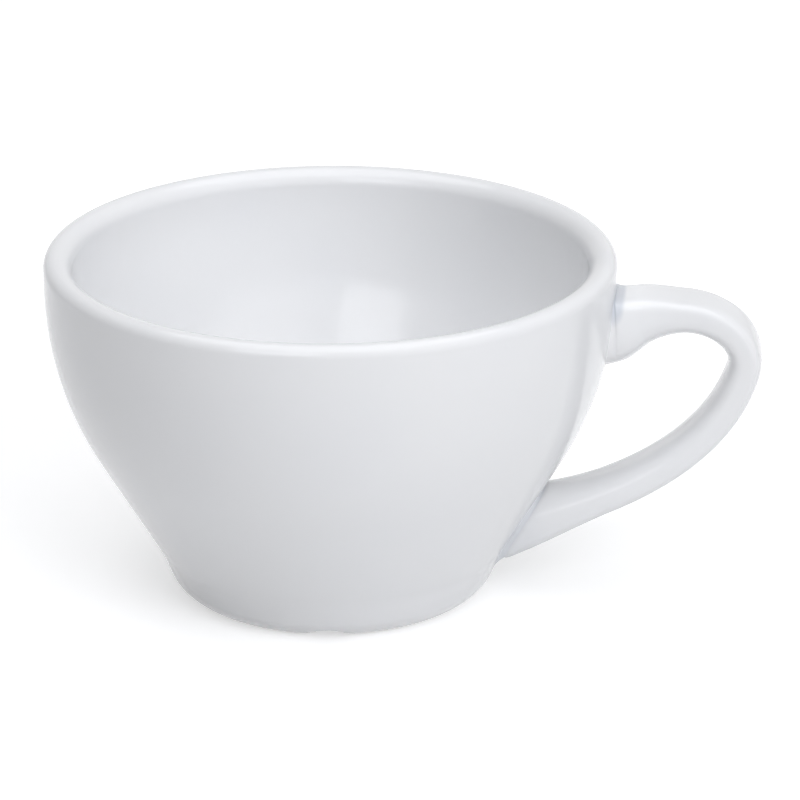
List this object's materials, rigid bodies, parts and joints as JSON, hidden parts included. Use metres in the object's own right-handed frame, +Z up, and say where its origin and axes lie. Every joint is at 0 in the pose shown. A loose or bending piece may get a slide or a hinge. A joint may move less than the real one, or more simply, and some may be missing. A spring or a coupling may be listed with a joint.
{
  "type": "cappuccino cup",
  "caption": "White glazed cappuccino cup with a wide round bowl, a rounded rim, a narrow foot ring with drain notches and a looped handle luted on at top and bottom.",
  "frame": {"origin": "centre of the foot ring, on the surface that the cup rests on", "axes": "+Z up along the cup's turning axis, +X out along the middle of the handle"},
  "size_m": [0.1281, 0.102, 0.0635],
  "materials": {
    "white_glaze": "fired white porcelain under a clear gloss glaze",
    "pooled_glaze": "slip joint under glaze that has run thicker and reads slightly blue"
  },
  "bodies": {
    "root": {"cup_body": "white_glaze", "handle": "white_glaze", "upper_slip_joint": "pooled_glaze", "lower_slip_joint": "pooled_glaze"}
  },
  "joints": []
}
